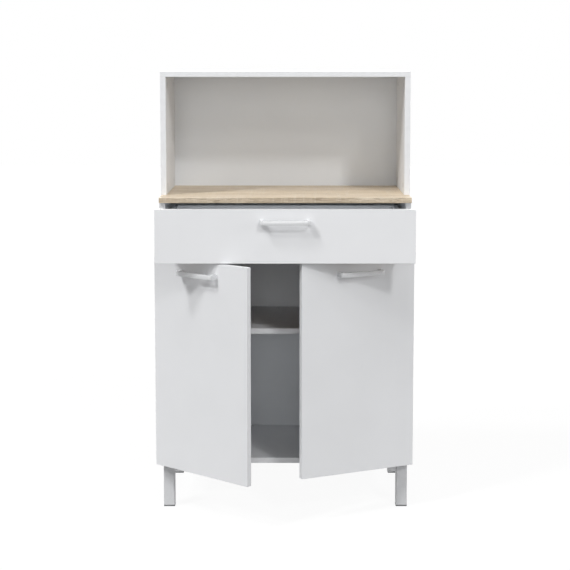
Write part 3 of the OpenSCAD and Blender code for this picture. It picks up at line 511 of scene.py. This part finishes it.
def lathed(name, node, profile, axis, finish, steps=40):
    """Turns a closed profile of (radius, place along the axis) about each solid of a node."""
    b = bmesh.new()
    for group in islands(node):
        middle = Vector([(min(p[i] for p in group) + max(p[i] for p in group)) / 2
            for i in range(3)])
        turn = Vector(axis).to_track_quat("Z", "Y").to_matrix()
        rings = []
        for step in range(steps):
            angle = 2 * math.pi * step / steps
            rings.append([b.verts.new(middle + turn @ Vector((r * math.cos(angle),
                r * math.sin(angle), h))) for r, h in profile])
        for one, two in zip(rings, rings[1:] + rings[:1]):
            for i, j in zip(range(len(profile)), [*range(1, len(profile)), 0]):
                face = b.faces.new((one[i], two[i], two[j], one[j]))
                face.smooth = True
    bmesh.ops.remove_doubles(b, verts=b.verts, dist=1e-7)
    bmesh.ops.recalc_face_normals(b, faces=b.faces)
    mesh = bpy.data.meshes.new(name)
    b.to_mesh(mesh)
    b.free()
    mesh.set_sharp_from_angle(angle=math.radians(35))
    shown(name, mesh, node, finish)


def islands(node):
    """The separate solids of a CAD node, each as the list of its corners."""
    b = bmesh.new()
    b.from_mesh(nodes[node].data)
    bmesh.ops.remove_doubles(b, verts=b.verts, dist=MERGE)
    groups = []
    for first in b.verts:
        if first.tag:
            continue
        first.tag = True
        queue, group = [first], []
        while queue:
            vert = queue.pop()
            group.append(vert.co.copy())
            for edge in vert.link_edges:
                other = edge.other_vert(vert)
                if not other.tag:
                    other.tag = True
                    queue.append(other)
        groups.append(group)
    b.free()
    return groups


# tread with a shallow groove and rounded shoulders, a hub that stands out 0.4 mm
tread, hub, bore, half_w, half_hub = 0.009, 0.004, 0.00208, 0.0025, 0.0029
web, dish, shoulder, groove_half = 0.0068, 0.0004, 0.0005, 0.0006
outer_half = [(tread, groove_half), (tread, half_w - shoulder), (tread - shoulder, half_w),
    (web, half_w - dish), (hub, half_w), (hub, half_hub), (bore, half_hub)]
wheel = ([(r, -h) for r, h in reversed(outer_half)] + [(tread - dish, 0)] + outer_half)
for side in ("left", "right"):
    for kind in ("cabinet", "drawer"):
        lathed(side + "_" + kind + "_wheel", side + "_" + kind + "_roller", wheel,
            (1, 0, 0), nylon)


# ---- doors ----
# Two melamine doors, bored for hinge cups and drilled for handles. They stand open by 40.5
# and 25.3 degrees about the hinges' axis.
HINGE_AXIS = (0.359, -0.0646)
OPEN = {"left": -40.5, "right": 25.3}


def opened(side):
    """The turn that takes a closed door to its rest pose."""
    axis = Vector((HINGE_AXIS[0] * (-1 if side == "left" else 1), HINGE_AXIS[1], 0))
    return (Matrix.Translation(axis) @ Matrix.Rotation(math.radians(OPEN[side]), 4, "Z")
        @ Matrix.Translation(-axis))


for side in ("left", "right"):
    board(side + "_door_panel", still=opened(side))

# dome-shaped dots of clear silicone, stuck where the doors close
silicone, tree, place = material("clear_silicone")
haze = add(tree, "ShaderNodeTexNoise", {"Vector": place, "Scale": 300.0})
gloss = add(tree, "ShaderNodeMapRange", {"Value": haze.outputs["Fac"], "To Min": 0.2,
    "To Max": 0.35})
skin = add(tree, "ShaderNodeBsdfPrincipled", {"Base Color": linear("#EDEFEF"),
    "Roughness": gloss.outputs["Result"], "Transmission Weight": 0.4, "IOR": 1.41})
add(tree, "ShaderNodeOutputMaterial", {"Surface": skin.outputs[0]})
dome = [(0, 0.00085), (0.004, 0.00085), (0.004, 0.0002), (0.0034, -0.0004),
    (0.002, -0.00075), (0, -0.00085)]
lathed("door_dots", "door_bumpers", dome, (0, 1, 0), silicone, steps=24)


# ---- concealed hinges ----
# Pressed and nickel-plated steel: a plate on the carcass, an arm clamped on it, two links,
# and a cup in the door.

# nickel plating keeps the drawing marks of the press, 0.2 mm apart and drawn at 0.6 mm
nickel, tree, place = material("nickel_plated_pressed_steel")
drawn = add(tree, "ShaderNodeMapping", {"Vector": place, "Scale": (1600, 120, 1600)})
mark = add(tree, "ShaderNodeTexNoise", {"Vector": drawn.outputs[0], "Scale": 1.0,
    "Detail": 2.0})
tone = add(tree, "ShaderNodeValToRGB", {"Fac": mark.outputs["Fac"]},
    stops=[(0.3, "#B4B1AB"), (0.7, "#C7C4BE")])
gloss = add(tree, "ShaderNodeMapRange", {"Value": mark.outputs["Fac"], "To Min": 0.18,
    "To Max": 0.32})
skin = add(tree, "ShaderNodeBsdfPrincipled", {"Base Color": tone.outputs["Color"],
    "Metallic": 1.0, "Roughness": gloss.outputs["Result"]})
add(tree, "ShaderNodeOutputMaterial", {"Surface": skin.outputs[0]})

for node in ("hinge_arms", "hinge_mounting_plates"):
    eased(node, nickel, "zinc_plated_steel", 0.0003)
for side in ("left", "right"):
    for kind in ("_hinge_cups", "_outer_links", "_inner_links"):
        eased(side + kind, nickel, "zinc_plated_steel", 0.0002)


# ---- handles ----
# Bow handles, die-cast in zinc and sprayed with a light silver lacquer, screwed from behind
# the fronts.

# the lacquer holds aluminium flakes of 0.05 mm, drawn at 0.6 mm, under a clear glossy coat
lacquered, tree, place = material("silver_lacquer_on_zinc")
flake = add(tree, "ShaderNodeTexVoronoi", {"Vector": place, "Scale": 1 / 0.0006})
flow = add(tree, "ShaderNodeTexNoise", {"Vector": place, "Scale": 1 / 0.004, "Detail": 1.0})
tone = add(tree, "ShaderNodeValToRGB", {"Fac": flake.outputs["Color"]},
    stops=[(0.1, "#DDDEE0"), (0.9, "#E6E7E9")])
gloss = add(tree, "ShaderNodeMapRange", {"Value": flake.outputs["Color"], "To Min": 0.24,
    "To Max": 0.34})
relief = add(tree, "ShaderNodeBump", {"Height": flow.outputs["Fac"], "Strength": 0.2,
    "Distance": 0.0001})
skin = add(tree, "ShaderNodeBsdfPrincipled", {"Base Color": tone.outputs["Color"],
    "Roughness": gloss.outputs["Result"], "Normal": relief.outputs["Normal"],
    "Coat Weight": 1.0, "Coat Roughness": 0.18})
add(tree, "ShaderNodeOutputMaterial", {"Surface": skin.outputs[0]})

eased("drawer_handle", lacquered, "silver_lacquered_zinc", 0.0009)
for side in ("left", "right"):
    eased(side + "_door_handle", lacquered, "silver_lacquered_zinc", 0.0009,
        still=opened(side))


# ---- cams and dowels ----
# Die-cast cam locks turned over the heads of zinc-plated bolts, and fluted beech dowels
# beside them.
eased("cam_locks", zinc, "zinc_plated_steel", 0.0003)
eased("cam_bolts", zinc, "zinc_plated_steel", 0.0002)

# beech dowel rod, turned: fine warm lines along and across
beech, tree, place = material("beech_turned")
line = add(tree, "ShaderNodeTexNoise", {"Vector": place, "Scale": 500.0, "Detail": 3.0})
tone = add(tree, "ShaderNodeValToRGB", {"Fac": line.outputs["Fac"]},
    stops=[(0.3, "#C49A6C"), (0.7, "#D9B88C")])
skin = add(tree, "ShaderNodeBsdfPrincipled", {"Base Color": tone.outputs["Color"],
    "Roughness": 0.65})
add(tree, "ShaderNodeOutputMaterial", {"Surface": skin.outputs[0]})


def tree_with(name, **sizes):
    """A geometry tree with points coming in and a named input for each size."""
    made = bpy.data.node_groups.new(name, "GeometryNodeTree")
    made.interface.new_socket("Geometry", in_out="INPUT", socket_type="NodeSocketGeometry")
    for size, kind in sizes.items():
        made.interface.new_socket(size.replace("_", " "), in_out="INPUT",
            socket_type="NodeSocket" + kind)
    made.interface.new_socket("Geometry", in_out="OUTPUT", socket_type="NodeSocketGeometry")
    return made, add(made, "NodeGroupInput").outputs


def times(tree, value, factor):
    """A size of the tree multiplied by a number."""
    return add(tree, "ShaderNodeMath", {0: value, 1: factor}, operation="MULTIPLY").outputs[0]


def at_height(tree, geometry, height):
    """Moves a shape of the tree up by a height."""
    up = add(tree, "ShaderNodeCombineXYZ", {"Z": height})
    return add(tree, "GeometryNodeTransform", {"Geometry": geometry,
        "Translation": up.outputs[0]}).outputs[0]


def placed_by_tree(tree, given, shape):
    """Puts the shape on every point, along its `facing` and turned by chance about it."""
    facing = add(tree, "GeometryNodeInputNamedAttribute", {"Name": "facing"},
        data_type="FLOAT_VECTOR")
    along = add(tree, "FunctionNodeAlignRotationToVector", {"Vector": facing.outputs[0]},
        axis="Z")
    chance = add(tree, "FunctionNodeRandomValue", {"Seed": 7}, data_type="FLOAT_VECTOR")
    chance.inputs[0].default_value = (0, 0, 0)
    chance.inputs[1].default_value = (0, 0, 2 * math.pi)
    turn = add(tree, "FunctionNodeRotateRotation", {"Rotation": along.outputs[0],
        "Rotate By": chance.outputs[0]}, rotation_space="LOCAL")
    many = add(tree, "GeometryNodeInstanceOnPoints", {"Points": given["Geometry"],
        "Instance": shape, "Rotation": turn.outputs[0]})
    real = add(tree, "GeometryNodeRealizeInstances", {"Geometry": many.outputs[0]})
    done = add(tree, "GeometryNodeSetMaterial", {"Geometry": real.outputs[0],
        "Material": given["Material"]})
    add(tree, "NodeGroupOutput", {"Geometry": done.outputs[0]})


def grown(name, node, tree, sites, slot, finish, **sizes):
    """Runs a tree on points with their facings and keeps the result as a plain mesh."""
    points = bpy.data.meshes.new(name + "_points")
    points.from_pydata([p for p, _ in sites], [], [])
    facing = points.attributes.new("facing", "FLOAT_VECTOR", "POINT")
    for i, (_, direction) in enumerate(sites):
        facing.data[i].vector = direction
    piece = bpy.data.objects.new(name, points)
    scene.collection.objects.link(piece)
    grow = piece.modifiers.new("grow", "NODES")
    grow.node_group = tree
    for socket in tree.interface.items_tree:
        if socket.in_out == "INPUT" and socket.name != "Geometry":
            grow[socket.identifier] = (finish if socket.name == "Material"
                else sizes[socket.name.replace(" ", "_")])
    graph = bpy.context.evaluated_depsgraph_get()
    mesh = bpy.data.meshes.new_from_object(piece.evaluated_get(graph))
    piece.modifiers.clear()
    piece.data = mesh
    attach(piece, nodes[node]["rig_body"])
    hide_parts(node)
    return piece


def sites_of(node, facing, skip=lambda extent: False):
    """Where each solid of a node starts along its facing, on its own middle line."""
    found = []
    for group in islands(node):
        middle = sum(group, Vector()) / len(group)
        extent = [max(p[i] for p in group) - min(p[i] for p in group) for i in range(3)]
        if skip(extent):
            continue
        direction = Vector(facing(middle, extent)).normalized()
        frame_of = direction.to_track_quat("Z", "Y").to_matrix()
        local = [frame_of.transposed() @ p for p in group]
        low = [min(p[i] for p in local) for i in range(3)]
        high = [max(p[i] for p in local) for i in range(3)]
        start = frame_of @ Vector(((low[0] + high[0]) / 2, (low[1] + high[1]) / 2, low[2]))
        found.append((start, direction))
    return found


dowel_tree, given = tree_with("fluted_dowel", Diameter="Float", Length="Float",
    Flutes="Int", Material="Material")
rod = add(dowel_tree, "GeometryNodeMeshCylinder", {"Vertices": given["Flutes"],
    "Radius": times(dowel_tree, given["Diameter"], 0.5), "Depth": given["Length"]})
raised = at_height(dowel_tree, rod.outputs["Mesh"], times(dowel_tree, given["Length"], 0.5))
placed_by_tree(dowel_tree, given, raised)


def longest(middle, extent):
    """Along the solid's own length: the width, the depth or the height."""
    return [float(size == max(extent)) for size in extent]


grown("beech_dowels", "wooden_dowels", dowel_tree, sites_of("wooden_dowels", longest),
    "beech", beech, Diameter=0.008, Length=0.030, Flutes=20)


# ---- screws and nails ----
# Zinc-plated pan-head screws with a cross recess and a cut thread, and flat-headed nails in
# the back panels. Each screw starts at the outer face of its head.
screw_tree, given = tree_with("pan_head_screw", Diameter="Float", Length="Float",
    Head_Diameter="Float", Head_Height="Float", Pitch="Float", Material="Material")

# shares of the head's diameter, of the shank's diameter and of the shank's length
RECESS_LENGTH, RECESS_WIDTH = 0.55, 0.11
CORE_SHARE, TOOTH_SHARE = 0.40, 0.09
THREADED = 0.9
t = screw_tree
head_r = times(t, given["Head Diameter"], 0.5)
ball = add(t, "GeometryNodeMeshUVSphere", {"Segments": 20, "Rings": 12, "Radius": head_r})
flat = add(t, "ShaderNodeMath", {0: given["Head Height"], 1: head_r}, operation="DIVIDE")
squeeze = add(t, "ShaderNodeCombineXYZ", {"X": 1.0, "Y": 1.0, "Z": flat.outputs[0]})
domed = add(t, "GeometryNodeTransform", {"Geometry": ball.outputs["Mesh"],
    "Scale": squeeze.outputs[0]})
wide = times(t, given["Head Diameter"], 2.0)
under = add(t, "ShaderNodeCombineXYZ", {"X": wide, "Y": wide,
    "Z": times(t, given["Head Height"], 2.0)})
below = add(t, "GeometryNodeMeshCube", {"Size": under.outputs[0]})
cutters = [at_height(t, below.outputs["Mesh"], given["Head Height"])]
for across in (("X", "Y"), ("Y", "X")):
    blade = add(t, "ShaderNodeCombineXYZ", {
        across[0]: times(t, given["Head Diameter"], RECESS_LENGTH),
        across[1]: times(t, given["Head Diameter"], RECESS_WIDTH),
        "Z": times(t, given["Head Height"], 1.2)})
    cube = add(t, "GeometryNodeMeshCube", {"Size": blade.outputs[0]})
    cutters.append(at_height(t, cube.outputs["Mesh"], times(t, given["Head Height"], -1.0)))
cut = add(t, "GeometryNodeMeshBoolean", {"Mesh 1": domed.outputs[0]}, operation="DIFFERENCE")
for cutter in cutters:
    t.links.new(cutter, cut.inputs["Mesh 2"])
core_r = times(t, given["Diameter"], CORE_SHARE)
shank = add(t, "GeometryNodeMeshCylinder", {"Vertices": 14, "Radius": core_r,
    "Depth": given["Length"]})
shank_up = at_height(t, shank.outputs["Mesh"], times(t, given["Length"], 0.5))
turns = add(t, "ShaderNodeMath", {0: times(t, given["Length"], THREADED), 1: given["Pitch"]},
    operation="DIVIDE")
helix = add(t, "GeometryNodeCurveSpiral", {"Resolution": 14, "Rotations": turns.outputs[0],
    "Start Radius": core_r, "End Radius": core_r,
    "Height": times(t, given["Length"], THREADED)})
tooth = add(t, "GeometryNodeCurvePrimitiveCircle", {"Resolution": 3,
    "Radius": times(t, given["Diameter"], TOOTH_SHARE)})
thread = add(t, "GeometryNodeCurveToMesh", {"Curve": helix.outputs[0],
    "Profile Curve": tooth.outputs["Curve"], "Fill Caps": True})
thread_up = at_height(t, thread.outputs[0], times(t, given["Length"], (1 - THREADED) / 2))
whole = add(t, "GeometryNodeJoinGeometry")
for part in (cut.outputs["Mesh"], shank_up, thread_up):
    t.links.new(part, whole.inputs[0])
screw = at_height(t, whole.outputs[0], given["Head Height"])
placed_by_tree(t, given, screw)

HEAD_HEIGHT = 0.0018


def screws(node, facing, length, skip=lambda extent: False):
    """The screws of a node, each with its head at the start of its solid."""
    return grown(node + "_turned", node, screw_tree, sites_of(node, facing, skip),
        "zinc_plated_steel", zinc, Diameter=0.004, Length=length, Head_Diameter=0.008,
        Head_Height=HEAD_HEIGHT, Pitch=0.0014)


def outwards(middle, extent):
    """Towards the cabinet's nearer side."""
    return (math.copysign(1, middle.x), 0, 0)


def inwards(middle, extent):
    """Away from the cabinet's nearer side."""
    return (-math.copysign(1, middle.x), 0, 0)


def always(*direction):
    """The same way for every screw."""
    return lambda middle, extent: direction


screws("worktop_screws", always(0, 0, 1), 0.027)
screws("leg_screws", always(0, 0, 1), 0.013)
screws("runner_screws", outwards, 0.0122)
screws("hinge_plate_screws", outwards, 0.0135)
screws("hinge_arm_screws", outwards, 0.009)
screws("drawer_handle_screws", always(0, -1, 0), 0.028)
for side in ("left", "right"):
    ahead = opened(side).to_3x3() @ Vector((0, -1, 0))
    screws(side + "_handle_screws", always(*ahead), 0.028)
    screws(side + "_cup_screws", always(*ahead), 0.0122)

# the drawer's corner node holds the screws of the rear corners and the front's dowels
screws("drawer_corner_fixings", inwards, 0.030, skip=lambda extent: extent[1] > extent[0])
front_dowels = sites_of("drawer_corner_fixings", longest,
    skip=lambda extent: extent[0] > extent[1])
grown("drawer_corner_dowels", "drawer_corner_fixings", dowel_tree, front_dowels, "beech",
    beech, Diameter=0.006, Length=0.026, Flutes=18)

nail_tree, given = tree_with("flat_nail", Diameter="Float", Length="Float",
    Head_Diameter="Float", Head_Height="Float", Material="Material")
t = nail_tree
disc = add(t, "GeometryNodeMeshCone", {"Vertices": 20,
    "Radius Top": times(t, given["Head Diameter"], 0.5),
    "Radius Bottom": times(t, given["Head Diameter"], 0.38), "Depth": given["Head Height"]})
wire = add(t, "GeometryNodeMeshCylinder", {"Vertices": 10,
    "Radius": times(t, given["Diameter"], 0.48), "Depth": given["Length"]})
wire_up = at_height(t, wire.outputs["Mesh"], times(t, given["Length"], 0.5))
nail = add(t, "GeometryNodeJoinGeometry")
for part in (disc.outputs["Mesh"], at_height(t, wire_up, given["Head Height"])):
    t.links.new(part, nail.inputs[0])
placed_by_tree(t, given, nail.outputs[0])
grown("back_nails", "back_panel_nails", nail_tree,
    sites_of("back_panel_nails", always(0, -1, 0)), "zinc_plated_steel", zinc,
    Diameter=0.0014, Length=0.020, Head_Diameter=0.004, Head_Height=0.0006)
